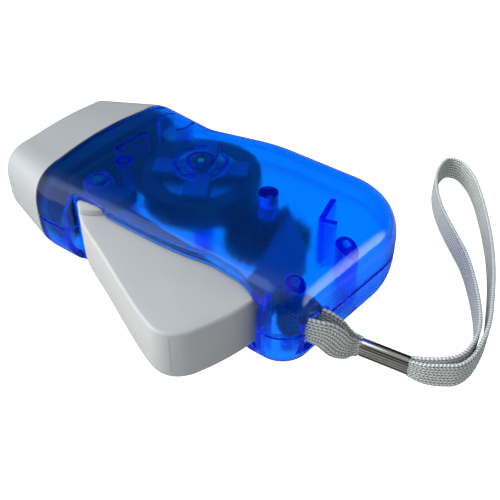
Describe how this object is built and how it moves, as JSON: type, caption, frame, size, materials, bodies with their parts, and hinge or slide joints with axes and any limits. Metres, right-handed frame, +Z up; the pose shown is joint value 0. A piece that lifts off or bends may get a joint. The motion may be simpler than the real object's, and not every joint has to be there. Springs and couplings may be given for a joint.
{
  "type": "hand press dynamo flashlight",
  "caption": "Hand-press dynamo torch: blue translucent shells, grey squeeze lever on a gear train and flywheel, LED nose and braided wrist strap.",
  "frame": {"origin": "centre of the flat underside the torch lies on, at mid length of the case, on the lens axis plane", "axes": "+X towards the lens, +Y towards the squeeze lever, +Z up from the underside"},
  "size_m": [0.1328, 0.1195, 0.0255],
  "materials": {
    "translucent_blue": "clear blue moulded shell, glossy",
    "pale_grey": "satin moulded",
    "clear_lens": "clear acrylic window",
    "dark_reflector": "dark, satin",
    "phenolic": "brown board",
    "black_plastic": "moulded",
    "capacitor_sleeve": "shrink sleeve",
    "cell_steel": "plated",
    "steel": "bright",
    "white_nylon": "moulded nylon",
    "copper": "enamelled winding",
    "zinc": "dull cast ring",
    "ferrite": "sintered",
    "braid": "woven tape",
    "chromed": "crimped bright sleeve",
    "led_clear": "clear epoxy",
    "wire_red": "wire insulation"
  },
  "bodies": {
    "case": {"upper_shell": "translucent_blue", "lower_shell": "translucent_blue", "nose_cap": "pale_grey", "lens": "clear_lens", "reflector": "dark_reflector", "led_board": "phenolic", "rectifier": "black_plastic", "capacitor": "capacitor_sleeve", "cell_stack": "cell_steel", "bridge_plate": "black_plastic", "lower_yoke": "steel", "upper_yoke": "steel", "bobbin": "white_nylon", "coil": "copper", "axle_bush": "white_nylon", "pivot_pin": "steel", "drive_axle": "steel", "idler_axle": "steel", "rotor_axle": "steel", "strap_tie": "braid", "strap_loop": "braid", "ferrule": "chromed", "led_1": "led_clear", "led_2": "led_clear", "led_3": "led_clear", "case_screw_1": "steel", "case_screw_2": "steel", "case_screw_3": "steel", "bridge_screw_1": "steel", "bridge_screw_2": "steel", "lead_1": "wire_red", "lead_2": "wire_red"},
    "lever": {"squeeze_lever": "pale_grey", "return_spring": "steel"},
    "drive": {"drive_pinion": "white_nylon", "pawl_plate": "white_nylon"},
    "ratchet": {"ratchet_gear": "white_nylon"},
    "idler": {"idler_gear": "white_nylon"},
    "rotor": {"rotor_pinion": "white_nylon", "rotor_spider": "white_nylon", "flywheel_ring": "zinc", "ring_magnet": "ferrite"}
  },
  "joints": [
    {"name": "lever_pivot", "type": "hinge", "parent": "case", "child": "lever", "pos_m": [0.0208, 0.0132, 0.01275], "axis": [0, 0, 1], "range_deg": [0, 19.5], "stiffness_Nm_per_rad": 0.12, "springref_deg": -28.65},
    {"name": "drive_pinion_spin", "type": "hinge", "parent": "case", "child": "drive", "pos_m": [-0.01892, -0.00837, 0.01275], "axis": [0, 0, 1], "range_deg": [0, 240]},
    {"name": "rotor_spin", "type": "hinge", "parent": "case", "child": "rotor", "pos_m": [0.0044, -0.0091, 0.01275], "axis": [0, 0, 1], "continuous": true},
    {"name": "idler_spin", "type": "hinge", "parent": "case", "child": "idler", "pos_m": [-0.00586, -0.01532, 0.01275], "axis": [0, 0, 1], "continuous": true},
    {"name": "ratchet_gear_spin", "type": "hinge", "parent": "case", "child": "ratchet", "pos_m": [-0.01892, -0.00837, 0.01275], "axis": [0, 0, 1], "continuous": true}
  ],
  "couplings": [
    {"joint": "drive_pinion_spin", "follows": "lever_pivot", "ratio": 12.3},
    {"joint": "idler_spin", "follows": "rotor_spin", "ratio": -0.36364},
    {"joint": "ratchet_gear_spin", "follows": "rotor_spin", "ratio": 0.11688}
  ]
}
